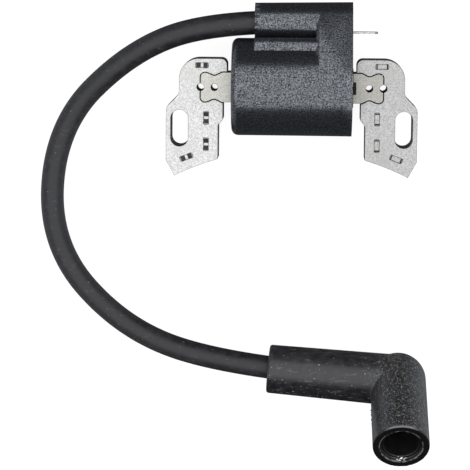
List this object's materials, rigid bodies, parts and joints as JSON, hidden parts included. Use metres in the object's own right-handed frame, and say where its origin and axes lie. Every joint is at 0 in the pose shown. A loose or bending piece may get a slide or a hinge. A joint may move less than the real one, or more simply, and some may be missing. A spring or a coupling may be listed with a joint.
{
  "type": "ignition coil",
  "caption": "Small engine ignition coil: laminated core with two slotted pole legs, potted cylindrical coil, high-tension lead and swivelling elbow spark plug boot.",
  "frame": {"origin": "on the surface that the coil lies on, under the middle of the coil and legs without the lead and boot", "axes": "+X along the core bar, +Y towards the lead tower, +Z out of the coil's front face"},
  "size_m": [0.1188, 0.1377, 0.0368],
  "materials": {
    "leg_steel": "bare stamped electrical steel",
    "core_steel": "bare stamped electrical steel, warmer tone",
    "housing_plastic": "mineral-filled black moulding",
    "potting_epoxy": "cast resin",
    "bobbin_plastic": "moulded",
    "copper_wire": "enamelled copper wire",
    "tape": "polyester film",
    "board": "glass-epoxy board",
    "component": "moulded package",
    "tinned_metal": "tin plated",
    "sealant": "cured adhesive",
    "lead_rubber": "extruded rubber jacket",
    "boot_rubber": "moulded rubber",
    "spring_steel": "nickel plated spring steel"
  },
  "bodies": {
    "coil": {"left_leg_front": "leg_steel", "left_leg_pack": "leg_steel", "left_leg_rear": "leg_steel", "right_leg_front": "leg_steel", "right_leg_pack": "leg_steel", "right_leg_rear": "leg_steel", "core_front": "core_steel", "core_pack": "core_steel", "core_rear": "core_steel", "core_wedge": "bobbin_plastic", "coil_housing": "housing_plastic", "potting_compound": "potting_epoxy", "primary_bobbin": "bobbin_plastic", "primary_winding": "copper_wire", "insulation_tape": "tape", "secondary_bobbin": "bobbin_plastic", "secondary_winding": "copper_wire", "control_board": "board", "darlington_transistor": "component", "trigger_resistor": "component", "clamp_diode": "component", "ground_strap": "tinned_metal", "ht_post": "tinned_metal", "kill_terminal": "tinned_metal", "lead_seal": "sealant", "ht_lead": "lead_rubber", "lead_conductor": "copper_wire"},
    "boot": {"spark_plug_boot": "boot_rubber", "plug_terminal": "spring_steel"}
  },
  "joints": [
    {"name": "boot_swivel", "type": "hinge", "parent": "coil", "child": "boot", "pos_m": [-0.0064, -0.08615, 0.0075], "axis": [0.9969, -0.0741, 0.0276], "range_deg": [-90, 50]}
  ]
}
